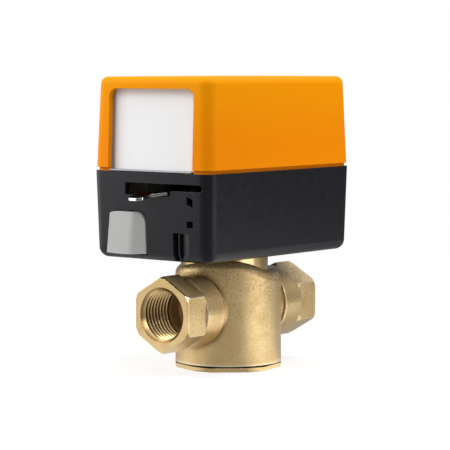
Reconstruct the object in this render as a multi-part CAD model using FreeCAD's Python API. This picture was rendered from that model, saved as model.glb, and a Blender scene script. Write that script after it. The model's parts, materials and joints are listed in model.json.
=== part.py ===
import FreeCAD, Part
import math
import os

# Motorised two-port zone valve, millimetres, +Z up.
# The origin is on the valve stem's axis at the flat underside of the bottom cap.
# The pipe runs along Y, and the lever end of the actuator faces -Y.

# --- driving dimensions -------------------------------------------------------------

# valve body
PIPE_Z = 23.75              # pipe centre above the underside
PORT_HALF_LENGTH = 40.8     # body axis to port face
BODY_Y = 2.5                # the cast barrel's axis stands behind the stem's axis
BARREL_R = 21.0
BARREL_BOTTOM_Z = 2.3
BARREL_TOP_Z = PIPE_Z + 14.5
HEX_AF = 26.0
FLATS_END = 29.7            # from the body axis, like BAND_END
BAND_R = 14.0               # round band between the flats and the neck
BAND_END = 19.8
NECK_R = 13.0
RIDGE_HEIGHT = 6.0          # low ridge across the barrel's top
RIDGE_TURN = 38.0           # degrees from the front towards the right
RIDGE_SHIFT = -2.0
BARREL_EDGE_R = 4.0
THREAD_PITCH = 1.814        # G1/2 parallel pipe thread, cut as ring grooves
THREAD_GROOVES = 7
THREAD_ROOT_R = 10.478
INLET_CREST_R = 9.33        # both within the G1/2 limits of 9.316 to 9.586
OUTLET_CREST_R = 9.53
BORE_R = 9.0
BORE_DEPTH = 21.0
WATERWAY_R = 7.5
CHAMBER_R = 14.5
CHAMBER_TOP_Z = PIPE_Z + 10.25
COLLAR_R = 17.25
COLLAR_TOP_Z = 52.5
LATCH_GROOVE_R = 14.0
STEM_R = 4.0
COUPLING_R = 3.0            # D-shaped top of the stem
COUPLING_FLAT = 2.2
STEM_TOP_Z = 59.0
CAP_GROOVE_Z = 1.6          # top of the cap's flange, below the dark joint line
CAP_FLAT_RATIO = 0.945      # across flats over diameter
CAP_TURN = 41.0             # degrees its flats are turned by
CAP_PLUG_R = 17.5
CAP_PLUG_TOP_Z = 7.4

# actuator housing
WALL = 2.0
BASE_BOTTOM_Z = PIPE_Z + 21.5
BASE_TOP_Z = PIPE_Z + 55.0
BASE_TOP_SIZE = (58.5, 91.0)
BASE_BOTTOM_SIZE = (56.8, 89.3)
FLOOR_Z = BASE_BOTTOM_Z + WALL
COVER_BOTTOM_Z = PIPE_Z + 56.3
COVER_TOP_Z = PIPE_Z + 91.0
COVER_BOTTOM_SIZE = (58.0, 90.5)
COVER_TOP_SIZE = (55.6, 88.1)
COVER_WALL = 2.2
CORNER_R = 4.6
LIP_BOTTOM_Z = BASE_TOP_Z - 2.6
LIP_INSET = 1.05
WINDOW_HALF_WIDTH = 20.9
WINDOW_TOP_Z = COVER_TOP_Z - 4.5
WINDOW_R = 3.2
PANEL_INSET = 3.1
PANEL_THICKNESS = 1.6
LABEL_THICKNESS = 0.25

# lever slot in the front wall, above the pipe centre
SLOT_LEFT_X = -12.1
SLOT_STEP_X = 9.7
SLOT_RIGHT_X = 25.6
SLOT_TOP_Z = PIPE_Z + 50.9
SLOT_NARROW_Z = PIPE_Z + 48.3
SLOT_LOW_Z = PIPE_Z + 46.2

# slanted hole at the right of the front wall, as (x, z) corners
SLANTED_HOLE = (
    (18.2, PIPE_Z + 46.5), (21.05, PIPE_Z + 45.45), (21.05, PIPE_Z + 42.3), (18.2, PIPE_Z + 43.5),
)

# cable grommet in the rear wall
GROMMET_Z = 60.0
GROMMET_BORE_R = 3.4
GROMMET_SEAT_R = 5.2

# release button, with the opening a clearance wider
BUTTON_BOTTOM_Z = PIPE_Z + 24.0
BUTTON_TOP_Z = PIPE_Z + 39.8
BUTTON_BOTTOM_X = (-20.95, -2.1)
BUTTON_TOP_X = (-19.7, -2.3)
BUTTON_CORNER_R = 4.2
BUTTON_LEFT_FACET = 1.8
BUTTON_RIGHT_FACET = (5.5, 4.2)   # widths at its bottom and top
BUTTON_RIDGE_R = 5.0
BUTTON_OUT = (3.4, 2.5)     # how far it stands out at its bottom and top
BUTTON_GAP = 0.4

# manual lever
LEVER_Z = 70.4              # underside of its flat stretch
LEVER_T = 1.0
LEVER_TIP_Y = -54.7
LEVER_HALF_WIDTH = 3.5
LEVER_HUB_R = 11.0

# latch
LATCH_Z = 48.35
LATCH_T = 1.5
LATCH_TRAVEL = 3.0
LATCH_HOLE_R = 17.6

# gear train between the two plates
CHASSIS_Z = 64.0
CHASSIS_T = 1.5
GEAR_PLATE_Z = 87.0
GEAR_PLATE_T = 1.5
SECTOR_TEETH = 60
SECTOR_MODULE = 0.6
PINION_TEETH = 12
WHEEL_TEETH = 40
WHEEL_MODULE = 0.5
MOTOR_PINION_TEETH = 16
PRESSURE_ANGLE = math.radians(25.0)
BACKLASH = 0.05
OPEN_ANGLE = 60.0
SHAFT_R = 3.5
RUNNING_FIT = 0.05
AXLE_R = 1.2
LOWER_AXLE_X = -14.0
UPPER_AXLE_X = -7.0
MOTOR_X = 2.0
POST_POINTS = ((-21.5, -14.0), (21.5, -14.0), (-22.0, 37.0), (22.0, 37.0))
BOSS_POINTS = ((-22.0, -33.0), (22.0, -33.0), (-22.0, 37.0), (22.0, 37.0))

# motor
CAN_R = 23.0
CAN_WALL = 1.0
CAN_TOP_Z = 109.5
ROTOR_R = 8.5
MOTOR_SHAFT_R = 1.5

# end switch, pressed by the sector's cam when the valve is open
SWITCH_FACE_X = 16.2
SWITCH_MID_Z = 76.2
CAM_R = 14.8
CAM_DISC_R = 9.0

# terminal block
TERMINAL_YS = (-27.6, -23.25, -18.9)

# return spring
SPIRAL_Z = (79.4, 82.4)
SPIRAL_WIRE = 0.35
ANCHOR_X = 11.6
ANCHOR_R = 1.0


# --- places worked out from the driving dimensions -----------------------------------

def mesh_distance(module, teeth_a, teeth_b):
    """Centre distance of two meshed gears."""
    return module * (teeth_a + teeth_b) / 2


def beyond(start, distance, x):
    """The point at this distance from start, on its +Y side, with the stated x."""
    dx = x - start[0]
    return (x, start[1] + math.sqrt(distance ** 2 - dx ** 2))


def bearing(start, end):
    """Direction from start to end in degrees, counter-clockwise from +X."""
    return math.degrees(math.atan2(end[1] - start[1], end[0] - start[0]))


STEM_AXIS = (0.0, 0.0)
LOWER_AXLE = beyond(STEM_AXIS, mesh_distance(SECTOR_MODULE, SECTOR_TEETH, PINION_TEETH), LOWER_AXLE_X)
UPPER_AXLE = beyond(LOWER_AXLE, mesh_distance(WHEEL_MODULE, WHEEL_TEETH, PINION_TEETH), UPPER_AXLE_X)
MOTOR_REACH = mesh_distance(WHEEL_MODULE, WHEEL_TEETH, MOTOR_PINION_TEETH)
MOTOR_AXIS = (MOTOR_X, UPPER_AXLE[1] - math.sqrt(MOTOR_REACH ** 2 - (MOTOR_X - UPPER_AXLE[0]) ** 2))

BASE_SLOPE = (BASE_TOP_SIZE[1] - BASE_BOTTOM_SIZE[1]) / 2 / (BASE_TOP_Z - BASE_BOTTOM_Z)
COVER_SLOPE = (COVER_BOTTOM_SIZE[1] - COVER_TOP_SIZE[1]) / 2 / (COVER_TOP_Z - COVER_BOTTOM_Z)


def base_front_y(z):
    """Y of the base's front face at height z."""
    return -(BASE_BOTTOM_SIZE[1] / 2 + BASE_SLOPE * (z - BASE_BOTTOM_Z))


def cover_front_y(z):
    """Y of the cover's front face at height z."""
    return -(COVER_BOTTOM_SIZE[1] / 2 - COVER_SLOPE * (z - COVER_BOTTOM_Z))


BUTTON_FLANGE_Y = base_front_y(BUTTON_TOP_Z) + WALL + 0.55


# --- small shape helpers --------------------------------------------------------------

X_AXIS = FreeCAD.Vector(1, 0, 0)
Y_AXIS = FreeCAD.Vector(0, 1, 0)
Z_AXIS = FreeCAD.Vector(0, 0, 1)


def at(x, y, z):
    return FreeCAD.Vector(x, y, z)


def box(x0, x1, y0, y1, z0, z1):
    return Part.makeBox(x1 - x0, y1 - y0, z1 - z0, at(x0, y0, z0))


def rod(r, z0, z1, centre=STEM_AXIS):
    """Upright cylinder."""
    return Part.makeCylinder(r, z1 - z0, at(centre[0], centre[1], z0), Z_AXIS)


def rod_y(r, y0, y1, x, z):
    """Cylinder along Y."""
    return Part.makeCylinder(r, y1 - y0, at(x, y0, z), Y_AXIS)


def rod_x(r, x0, x1, y, z):
    """Cylinder along X."""
    return Part.makeCylinder(r, x1 - x0, at(x0, y, z), X_AXIS)


def tube(r_in, r_out, z0, z1, centre=STEM_AXIS):
    return rod(r_out, z0, z1, centre).cut(rod(r_in, z0 - 1, z1 + 1, centre))


def fused(*shapes):
    return shapes[0].fuse(list(shapes[1:])).removeSplitter()


def extruded(points, direction):
    """Prism over a closed polygon."""
    closed = list(points) + [points[0]]
    return Part.Face(Part.makePolygon(closed)).extrude(direction)


def regular(sides, r, centre=STEM_AXIS, turn_deg=0.0):
    """Corners of a regular polygon with corner radius r."""
    angles = [math.radians(turn_deg + 360.0 / sides * i) for i in range(sides)]
    return [(centre[0] + r * math.cos(a), centre[1] + r * math.sin(a)) for a in angles]


def prism_xy(outline, z0, z1):
    return extruded([at(x, y, z0) for x, y in outline], at(0, 0, z1 - z0))


def prism_xz(outline, y0, y1):
    return extruded([at(x, y0, z) for x, z in outline], at(0, y1 - y0, 0))


def prism_yz(outline, x0, x1):
    return extruded([at(x0, y, z) for y, z in outline], at(x1 - x0, 0, 0))


def edges_where(shape, test):
    return [e for e in shape.Edges if test(e)]


def flat_at(z):
    """Test for edges that lie at one height."""
    return lambda e: all(abs(v.Z - z) < 1e-4 for v in e.Vertexes)


def leaning(z0, z1):
    """Test for the corner edges that run from z0 to z1."""
    return lambda e: abs(abs(e.Vertexes[0].Z - e.Vertexes[-1].Z) - (z1 - z0)) < 1e-4


def same_x(e):
    """Test for edges whose ends share their x."""
    return abs(e.Vertexes[0].X - e.Vertexes[-1].X) < 1e-4


def upper_corners(z):
    """Test for the edges at height z that run from front to back."""
    return lambda e: flat_at(z)(e) and same_x(e)


def drafted_block(size0, z0, size1, z1, corner_r, bottom_r=0.0, top_r=0.0):
    """Block with drafted sides: size0 (x, y) at z0 and size1 at z1, centred on the stem axis."""
    reach = max(size0 + size1)

    def outline(i):
        a, b = size0[i] / 2, size1[i] / 2
        return [(-a, z0), (a, z0), (b, z1), (-b, z1)]

    block = prism_xz(outline(0), -reach, reach).common(prism_yz(outline(1), -reach, reach))
    block = block.makeFillet(corner_r, edges_where(block, leaning(z0, z1)))
    if bottom_r:
        block = block.makeFillet(bottom_r, edges_where(block, flat_at(z0)))
    if top_r:
        block = block.makeFillet(top_r, edges_where(block, flat_at(z1)))
    return block


def inset(size, by):
    return (size[0] - 2 * by, size[1] - 2 * by)


def between(size0, z0, size1, z1, z):
    """Size of a drafted block at height z."""
    t = (z - z0) / (z1 - z0)
    return tuple(a + (b - a) * t for a, b in zip(size0, size1))


def base_size(z):
    return between(BASE_BOTTOM_SIZE, BASE_BOTTOM_Z, BASE_TOP_SIZE, BASE_TOP_Z, z)


def cover_size(z):
    return between(COVER_BOTTOM_SIZE, COVER_BOTTOM_Z, COVER_TOP_SIZE, COVER_TOP_Z, z)


def coil_spring(r, wire_r, length, turns):
    """Open coil spring along +Z from the origin, with the wire's centre line at radius r."""
    pitch = (length - 2 * wire_r) / turns
    helix = Part.makeHelix(pitch, pitch * turns, r)
    section = Part.Wire(Part.makeCircle(wire_r, at(r, 0, 0), Y_AXIS))
    spring = Part.Wire(helix.Edges).makePipeShell([section], True, True)
    spring.translate(at(0, 0, wire_r))
    return spring


def turned_to(shape, axis, degrees, target):
    """The shape turned about an axis through the origin, then moved to target."""
    shape.rotate(at(0, 0, 0), axis, degrees)
    shape.translate(target)
    return shape


def spun(shape, degrees, centre=STEM_AXIS):
    """A copy turned about an upright axis."""
    copy = shape.copy()
    copy.rotate(at(centre[0], centre[1], 0), Z_AXIS, degrees)
    return copy


# --- gears ----------------------------------------------------------------------------

def involute(angle):
    return math.tan(angle) - angle


def polar(r, angle):
    return at(r * math.cos(angle), r * math.sin(angle), 0)


def gear_blank(teeth, module, phase_deg):
    """Flat gear face about the origin, one tooth centred at phase_deg. Each flank is one arc."""
    pitch_r = module * teeth / 2
    base_r = pitch_r * math.cos(PRESSURE_ANGLE)
    root_r = pitch_r - 1.2 * module
    tip_r = pitch_r + 0.95 * module
    start_r = max(base_r, root_r) + 1e-3
    half_pitch = (math.pi * pitch_r / teeth - BACKLASH) / 2 / pitch_r

    def half_angle(r):
        return half_pitch + involute(PRESSURE_ANGLE) - involute(math.acos(min(1.0, base_r / r)))

    edges = []
    step = 2 * math.pi / teeth
    for i in range(teeth):
        mid = math.radians(phase_deg) + i * step
        root = half_angle(start_r)
        flank = [(r, half_angle(r)) for r in (start_r, (start_r + tip_r) / 2, tip_r)]
        right = [polar(r, mid - a) for r, a in flank]
        left = [polar(r, mid + a) for r, a in reversed(flank)]
        edges.append(Part.makeLine(polar(root_r, mid - root), right[0]))
        edges.append(Part.Arc(*right).toShape())
        edges.append(Part.makeLine(right[-1], left[0]))
        edges.append(Part.Arc(*left).toShape())
        edges.append(Part.makeLine(left[-1], polar(root_r, mid + root)))
        edges.append(Part.makeLine(polar(root_r, mid + root), polar(root_r, mid + step - root)))
    return Part.Face(Part.Wire(edges))


def gear(teeth, module, z0, z1, centre, phase_deg):
    """Solid gear without its bore."""
    wheel = gear_blank(teeth, module, phase_deg).extrude(at(0, 0, z1 - z0))
    wheel.translate(at(centre[0], centre[1], z0))
    return wheel


def gap_phase(direction_deg, teeth):
    """Phase that turns a tooth gap, not a tooth, to this direction."""
    return direction_deg + 180.0 / teeth


# --- brass valve ----------------------------------------------------------------------

def turned_y(profile):
    """Solid turned about the pipe's axis from (radius, distance from the body's axis) corners."""
    corners = [at(r, BODY_Y + y, PIPE_Z) for r, y in list(profile) + [profile[0]]]
    return Part.Face(Part.makePolygon(corners)).revolve(at(0, BODY_Y, PIPE_Z), Y_AXIS, 360)


def hex_end(side):
    """One port end: side is -1 for the front port and +1 for the rear port."""
    corner_r = HEX_AF / math.sqrt(3)
    face = side * PORT_HALF_LENGTH
    flats_end = side * FLATS_END
    outline = regular(6, corner_r, (0, PIPE_Z), 90)
    block = prism_xz(outline, BODY_Y + min(face, flats_end), BODY_Y + max(face, flats_end))
    # the corners are chamfered at the face and run out on a cone at the round band
    clear_r = corner_r + 0.1
    limit = turned_y([
        (0, face), (14.1, face), (clear_r, face - side * 1.1), (clear_r, flats_end + side * 1.2),
        (BAND_R, flats_end), (0, flats_end),
    ])
    band = turned_y([
        (0, flats_end + side * 0.6), (HEX_AF / 2, flats_end + side * 0.6), (BAND_R, flats_end),
        (BAND_R, side * (BAND_END + 0.3)), (BAND_R - 0.3, side * BAND_END), (0, side * BAND_END),
    ])
    return fused(block.common(limit), band)


def port_cutter(side, crest_r):
    """Mouth chamfer, ring grooves of the thread, relief and plain bore, as one turned cutter."""
    mouth_r = 10.7
    mouth_depth = mouth_r - crest_r
    flat = 0.3
    flank = (THREAD_PITCH - 2 * flat) / 2
    profile = [(0.0, -1.0), (mouth_r, -1.0), (mouth_r, 0.0), (crest_r, mouth_depth)]
    depth = mouth_depth + flat
    for _ in range(THREAD_GROOVES):
        profile.append((crest_r, depth))
        profile.append((THREAD_ROOT_R, depth + flank))
        profile.append((THREAD_ROOT_R, depth + flank + flat))
        profile.append((crest_r, depth + 2 * flank + flat))
        depth += THREAD_PITCH
    depth += flat
    profile += [
        (crest_r, depth), (THREAD_ROOT_R, depth + flat), (THREAD_ROOT_R, depth + 1.2),
        (BORE_R, depth + 1.2), (BORE_R, BORE_DEPTH), (0.0, BORE_DEPTH + 3.0),
    ]
    return turned_y([(r, side * (PORT_HALF_LENGTH - d)) for r, d in profile])


def barrel_blank():
    """Round casting whose flat top carries a broad, low ridge that faces the front right."""
    ridge_r = 32.0
    ridge_top = BARREL_TOP_Z + RIDGE_HEIGHT
    blend_r = 10.0
    drop = ridge_r - RIDGE_HEIGHT + blend_r
    foot_x = math.sqrt((ridge_r + blend_r) ** 2 - drop ** 2)
    lean = math.asin(foot_x / (ridge_r + blend_r))

    def on_ridge(angle):
        return at(ridge_r * math.sin(angle), 0, ridge_top - ridge_r + ridge_r * math.cos(angle))

    def on_blend(angle, side):
        rise = blend_r * (1 - math.cos(angle))
        return at(side * (foot_x - blend_r * math.sin(angle)), 0, BARREL_TOP_Z + rise)

    reach = BARREL_R + 9.0
    left_foot = at(-foot_x, 0, BARREL_TOP_Z)
    right_foot = at(foot_x, 0, BARREL_TOP_Z)
    edges = [
        Part.makeLine(at(-reach, 0, BARREL_TOP_Z), left_foot),
        Part.Arc(left_foot, on_blend(lean / 2, -1), on_ridge(-lean)).toShape(),
        Part.Arc(on_ridge(-lean), on_ridge(0), on_ridge(lean)).toShape(),
        Part.Arc(on_ridge(lean), on_blend(lean / 2, 1), right_foot).toShape(),
        Part.makeLine(right_foot, at(reach, 0, BARREL_TOP_Z)),
        Part.makeLine(at(reach, 0, BARREL_TOP_Z), at(reach, 0, BARREL_BOTTOM_Z)),
        Part.makeLine(at(reach, 0, BARREL_BOTTOM_Z), at(-reach, 0, BARREL_BOTTOM_Z)),
        Part.makeLine(at(-reach, 0, BARREL_BOTTOM_Z), at(-reach, 0, BARREL_TOP_Z)),
    ]
    across = Part.Face(Part.Wire(edges)).extrude(at(0, 2 * reach, 0))
    across.translate(at(RIDGE_SHIFT, -reach, 0))
    across = spun(across, RIDGE_TURN)
    barrel = rod(BARREL_R, BARREL_BOTTOM_Z, ridge_top + 1, (0, BODY_Y)).common(across)
    rim = edges_where(barrel, lambda e: e.BoundBox.ZMin > BARREL_TOP_Z - 0.1 and on_barrel(e))
    return barrel.makeFillet(BARREL_EDGE_R, rim)


def on_barrel(edge):
    """Test for edges that lie on the barrel's cylinder."""
    middle = edge.valueAt((edge.FirstParameter + edge.LastParameter) / 2)
    points = [middle] + [v.Point for v in edge.Vertexes]
    return all(abs(math.hypot(p.x, p.y - BODY_Y) - BARREL_R) < 1e-3 for p in points)


def valve_body():
    half_waterway = PORT_HALF_LENGTH - BORE_DEPTH
    neck = rod_y(NECK_R, BODY_Y - BAND_END - 1, BODY_Y + BAND_END + 1, 0, PIPE_Z)
    casting = fused(barrel_blank(), neck)
    collar = rod(COLLAR_R, BARREL_TOP_Z - 3, COLLAR_TOP_Z)
    collar = collar.makeChamfer(0.8, edges_where(collar, flat_at(COLLAR_TOP_Z)))
    collar = collar.cut(tube(LATCH_GROOVE_R, COLLAR_R + 1, LATCH_Z - 0.2, LATCH_Z + LATCH_T + 0.2))
    body = fused(casting, hex_end(-1), hex_end(1), collar)
    cuts = [
        port_cutter(-1, INLET_CREST_R),
        port_cutter(1, OUTLET_CREST_R),
        rod_y(WATERWAY_R, BODY_Y - half_waterway, BODY_Y + half_waterway, 0, PIPE_Z),
        rod(CHAMBER_R, CAP_PLUG_TOP_Z, CHAMBER_TOP_Z),
        rod(CAP_PLUG_R + 0.1, BARREL_BOTTOM_Z - 1, CAP_PLUG_TOP_Z + 0.2, (0, BODY_Y)),
        rod(5.0, CHAMBER_TOP_Z - 1, 44.5),
        rod(8.5, 44.0, COLLAR_TOP_Z + 1),
    ]
    return body.cut(cuts)


def bottom_cap():
    """Screw-in cap with six wrench flats round its flange."""
    axis = (0, BODY_Y)
    flange = rod(BARREL_R, 0, CAP_GROOVE_Z, axis)
    flats_r = BARREL_R * CAP_FLAT_RATIO / math.cos(math.pi / 6)
    flange = flange.common(prism_xy(regular(6, flats_r, axis, CAP_TURN), 0, CAP_GROOVE_Z))
    neck = rod(CAP_PLUG_R + 1.9, CAP_GROOVE_Z - 0.1, BARREL_BOTTOM_Z, axis)
    plug = rod(CAP_PLUG_R, 0.5, CAP_PLUG_TOP_Z, axis)
    groove = tube(15.4, CAP_PLUG_R + 1, 3.4, 5.8, axis)
    return fused(flange, neck, plug).cut(groove)


def cap_seal():
    return Part.makeTorus(16.46, 1.05, at(0, BODY_Y, 4.6), Z_AXIS)


def gland_bush():
    """Shouldered bush that guides the stem through the collar."""
    bush = fused(rod(4.95, 36.0, 44.5), rod(8.4, 44.0, 51.6))
    bush = bush.makeChamfer(0.5, edges_where(bush, flat_at(51.6)))
    slots = box(-9, 9, -0.8, 0.8, 50.6, 52.0)
    return bush.cut([rod(STEM_R + RUNNING_FIT, 35, 53), slots])


def d_section(r, flat, z0, z1):
    """Round bar with one flat on its -Y side."""
    return rod(r, z0, z1).cut(box(-r - 1, r + 1, -r - 1, -flat, z0 - 1, z1 + 1))


def valve_stem():
    upright = rod(STEM_R, 33.0, 53.4)
    grooves = [tube(2.6, STEM_R + 1, z - 0.95, z + 0.95) for z in (39.0, 42.5)]
    circlip_groove = tube(STEM_R - 0.5, STEM_R + 1, 52.0, 52.8)
    flange = rod(6.4, CHAMBER_TOP_Z - 1.7, CHAMBER_TOP_Z - 0.3)
    drive = box(-2.5, 2.5, -2.5, 2.5, PIPE_Z - 5.5, CHAMBER_TOP_Z - 1)
    top = d_section(COUPLING_R, COUPLING_FLAT, 53.0, STEM_TOP_Z)
    return fused(upright, flange, drive, top).cut(grooves + [circlip_groove])


def stem_seals():
    rings = [Part.makeTorus(3.31, 0.68, at(0, 0, z), Z_AXIS) for z in (39.0, 42.5)]
    return Part.makeCompound(rings)


def stem_circlip():
    ring = tube(STEM_R - 0.45, 6.0, 52.05, 52.75)
    gap = box(-1.6, 1.6, 0, 8, 51, 54)
    ears = fused(rod(1.3, 52.05, 52.75, (-2.6, 5.6)), rod(1.3, 52.05, 52.75, (2.6, 5.6)))
    holes = [rod(0.5, 51, 54, (x, 5.6)) for x in (-2.6, 2.6)]
    return fused(ring.cut(gap), ears).cut(holes)


def shoe_carrier():
    """Hub on the stem's square drive, with the socket that the shoe's spring sits in."""
    z0 = PIPE_Z - 6.0
    z1 = PIPE_Z + 6.0
    hub = rod(5.2, z0, z1)
    arm = box(-4.0, 4.0, 0, 8.4, PIPE_Z - 4.0, PIPE_Z + 4.0)
    square = box(-2.55, 2.55, -2.55, 2.55, z0 - 1, z1 + 1)
    socket = rod_y(2.9, 4.4, 9.4, 0, PIPE_Z)
    return fused(hub, arm).cut([square, socket])


def shoe_spring():
    spring = coil_spring(2.3, 0.35, 5.6, 4.5)
    return turned_to(spring, X_AXIS, -90, at(0, 4.6, PIPE_Z))


def seat_shoe():
    """Rubber shoe that covers the rear waterway when the valve is shut."""
    z0, z1 = PIPE_Z - 9.4, PIPE_Z + 9.4
    segment = tube(10.4, CHAMBER_R - 0.3, z0, z1).common(box(-8.6, 8.6, 5, CHAMBER_R, z0, z1))
    # two cheeks on its back straddle the carrier's arm
    cheeks = [box(x - 1.15, x + 1.15, 5.8, 11.0, PIPE_Z - 4, PIPE_Z + 4) for x in (-5.25, 5.25)]
    return fused(segment, *cheeks)


# --- actuator housing -----------------------------------------------------------------

def slot_cutter():
    """Lever slot: a wide low part on the left, a narrow part on the right with a round end."""
    end_r = (SLOT_TOP_Z - SLOT_NARROW_Z) / 2
    low = box(SLOT_LEFT_X, SLOT_STEP_X, -50, -40, SLOT_LOW_Z, SLOT_TOP_Z)
    left_x = SLOT_LEFT_X + 1e-4
    low = low.makeFillet(0.5, edges_where(low, lambda e: same_x(e) and e.Vertexes[0].X < left_x
                                          and e.Vertexes[0].Z == e.Vertexes[-1].Z))
    slant_x = SLOT_STEP_X + 0.8
    step = prism_xz([(SLOT_STEP_X - 1, SLOT_LOW_Z), (SLOT_STEP_X, SLOT_LOW_Z), (slant_x, SLOT_NARROW_Z),
                     (slant_x, SLOT_TOP_Z), (SLOT_STEP_X - 1, SLOT_TOP_Z)], -50, -40)
    narrow = box(0, SLOT_RIGHT_X - end_r, -50, -40, SLOT_NARROW_Z, SLOT_TOP_Z)
    end = rod_y(end_r, -50, -40, SLOT_RIGHT_X - end_r, SLOT_NARROW_Z + end_r)
    return fused(low, step, narrow, end)


def button_outline(grow):
    """Front view of the button as a face in the XZ plane at y = 0, grown all round by grow."""
    (l0, r0), (l1, r1) = BUTTON_BOTTOM_X, BUTTON_TOP_X
    z0 = BUTTON_BOTTOM_Z - grow
    z1 = BUTTON_TOP_Z + grow
    r = BUTTON_CORNER_R + grow
    corner = r * (1 - math.sqrt(0.5))
    bottom_left = at(l0 - grow, 0, z0)
    bottom_right = at(r0 + grow, 0, z0)
    right_end = at(r1 + grow, 0, z1 - r)
    right_mid = at(r1 + grow - corner, 0, z1 - corner)
    right_top = at(r1 + grow - r, 0, z1)
    left_top = at(l1 - grow + r, 0, z1)
    left_mid = at(l1 - grow + corner, 0, z1 - corner)
    left_end = at(l1 - grow, 0, z1 - r)
    edges = [
        Part.makeLine(bottom_right, right_end),
        Part.Arc(right_end, right_mid, right_top).toShape(),
        Part.makeLine(right_top, left_top),
        Part.Arc(left_top, left_mid, left_end).toShape(),
        Part.makeLine(left_end, bottom_left),
        Part.Arc(bottom_left, at((l0 + r0) / 2, 0, z0 - 0.35), bottom_right).toShape(),
    ]
    return Part.Face(Part.Wire(edges))


def button_prism(grow, y0, y1):
    prism = button_outline(grow).extrude(at(0, y1 - y0, 0))
    prism.translate(at(0, y0, 0))
    return prism


def front_recess():
    """Break-line recess at the lower right of the front wall, running out of the bottom edge."""
    top = PIPE_Z + 32.6
    low = BASE_BOTTOM_Z - 1
    channel = box(11.3, 13.9, -50, base_front_y(low) + 3.0, low, top)
    gap = box(14.5, 15.3, -50, base_front_y(low) + 1.6, low, top)
    face_top = base_front_y(top)
    face_low = base_front_y(low)
    ramp_points = [(15.3, 1.0), (19.0, 0.0)]
    upper = [at(x, face_top + d, top) for x, d in ramp_points] + [at(19.0, -50, top), at(15.3, -50, top)]
    lower = [at(x, face_low + d, low) for x, d in ramp_points] + [at(19.0, -50, low), at(15.3, -50, low)]
    ramp = Part.makeLoft([Part.makePolygon(p + p[:1]) for p in (upper, lower)], True, True)
    line = box(11.3, 18.4, -50, face_top + 0.45, top - 0.5, top)
    return [channel, gap, ramp, line]


def base_housing():
    outer = drafted_block(BASE_BOTTOM_SIZE, BASE_BOTTOM_Z, BASE_TOP_SIZE, BASE_TOP_Z, CORNER_R, bottom_r=4.0)
    above = BASE_TOP_Z + 1
    hollow = drafted_block(inset(base_size(FLOOR_Z), WALL), FLOOR_Z, inset(base_size(above), WALL), above,
                           CORNER_R - WALL, bottom_r=1.2)
    rebate_z = LIP_BOTTOM_Z - 0.3
    rebate_inset = LIP_INSET - 0.1
    rebate = drafted_block(inset(base_size(rebate_z), rebate_inset), rebate_z,
                           inset(base_size(above), rebate_inset), above, CORNER_R - 1.0)
    tub = outer.cut([hollow, rebate])
    root_z = FLOOR_Z - 0.5      # what stands on the floor starts inside it
    wall_y = base_front_y(FLOOR_Z)
    backing = box(9.8, 20.6, wall_y + 1, wall_y + 4.4, root_z, PIPE_Z + 34.2)
    bosses = [rod(3.4, root_z, CHASSIS_Z, p) for p in BOSS_POINTS]
    rails = [box(x - 0.8, x + 0.8, -20, 24, root_z, LATCH_Z + 3.0) for x in (-22.2, 22.2)]
    spring_stop = box(-5, 5, 38.2, 40.2, root_z, FLOOR_Z + 9.0)
    stop_web = prism_yz([(40.0, root_z), (43.2, root_z), (40.0, FLOOR_Z + 7.0)], -0.8, 0.8)
    body = fused(tub, backing, *bosses, *rails, spring_stop, stop_web)
    pilots = [rod(1.1, CHASSIS_Z - 12, CHASSIS_Z + 1, p) for p in BOSS_POINTS]
    holes = [
        rod(COLLAR_R + 0.35, BASE_BOTTOM_Z - 1, FLOOR_Z + 1),
        slot_cutter(),
        button_prism(BUTTON_GAP, -50, -40),
        prism_xz(SLANTED_HOLE, -50, -40),
        box(18.1, 21.0, -50, -42.0, PIPE_Z + 34.8, PIPE_Z + 37.3),
        rod_y(GROMMET_SEAT_R + 0.1, 40, 50, 0, GROMMET_Z),
    ]
    pockets = [box(x - 0.65, x + 0.65, y - 5.2, y + 5.2, 69.8, 72.4)
               for x in (-27.6, 27.6) for y in (-24, 24)]
    return body.cut(holes + front_recess() + pilots + pockets)


def window_cutter():
    """Window in the cover's front, open at the cover's lower edge, with rounded top corners."""
    window = box(-WINDOW_HALF_WIDTH, WINDOW_HALF_WIDTH, -50, -41.2, LIP_BOTTOM_Z - 1, WINDOW_TOP_Z)
    return window.makeFillet(WINDOW_R, edges_where(window, upper_corners(WINDOW_TOP_Z)))


def snap_tongue(side, y):
    """Tongue inside the cover's wall whose barb catches in a pocket of the base."""
    root_z = COVER_BOTTOM_Z + 0.3
    top_z = COVER_BOTTOM_Z + 4
    blade = box(25.75, 26.95, y - 5, y + 5, 69.4, top_z)
    root = box(26.15, 27.35, y - 5, y + 5, root_z, top_z)
    barb = prism_xz([(26.8, 70.1), (27.75, 72.1), (26.8, 72.1)], y - 5, y + 5)
    tongue = fused(blade, root, barb)
    if side < 0:
        tongue = tongue.mirror(at(0, 0, 0), X_AXIS)
    return tongue


def cover():
    outer = drafted_block(COVER_BOTTOM_SIZE, COVER_BOTTOM_Z, COVER_TOP_SIZE, COVER_TOP_Z, CORNER_R, top_r=3.0)
    top_inside = COVER_TOP_Z - COVER_WALL
    below = COVER_BOTTOM_Z - 1
    hollow = drafted_block(inset(cover_size(below), COVER_WALL), below,
                           inset(cover_size(top_inside), COVER_WALL), top_inside,
                           CORNER_R - COVER_WALL, top_r=1.2)
    lip_top = COVER_BOTTOM_Z + 2
    lip_out = drafted_block(inset(base_size(LIP_BOTTOM_Z), LIP_INSET), LIP_BOTTOM_Z,
                            inset(base_size(lip_top), LIP_INSET + 0.2), lip_top, CORNER_R - 1.0)
    lip_in = drafted_block(inset(base_size(LIP_BOTTOM_Z - 1), WALL + 0.15), LIP_BOTTOM_Z - 1,
                           inset(base_size(lip_top + 1), WALL + 0.45), lip_top + 1, CORNER_R - WALL)
    lip = lip_out.cut(lip_in)
    tongues = [snap_tongue(side, y) for side in (-1, 1) for y in (-24, 24)]
    return fused(outer.cut(hollow), lip, *tongues).cut(window_cutter())


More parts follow.
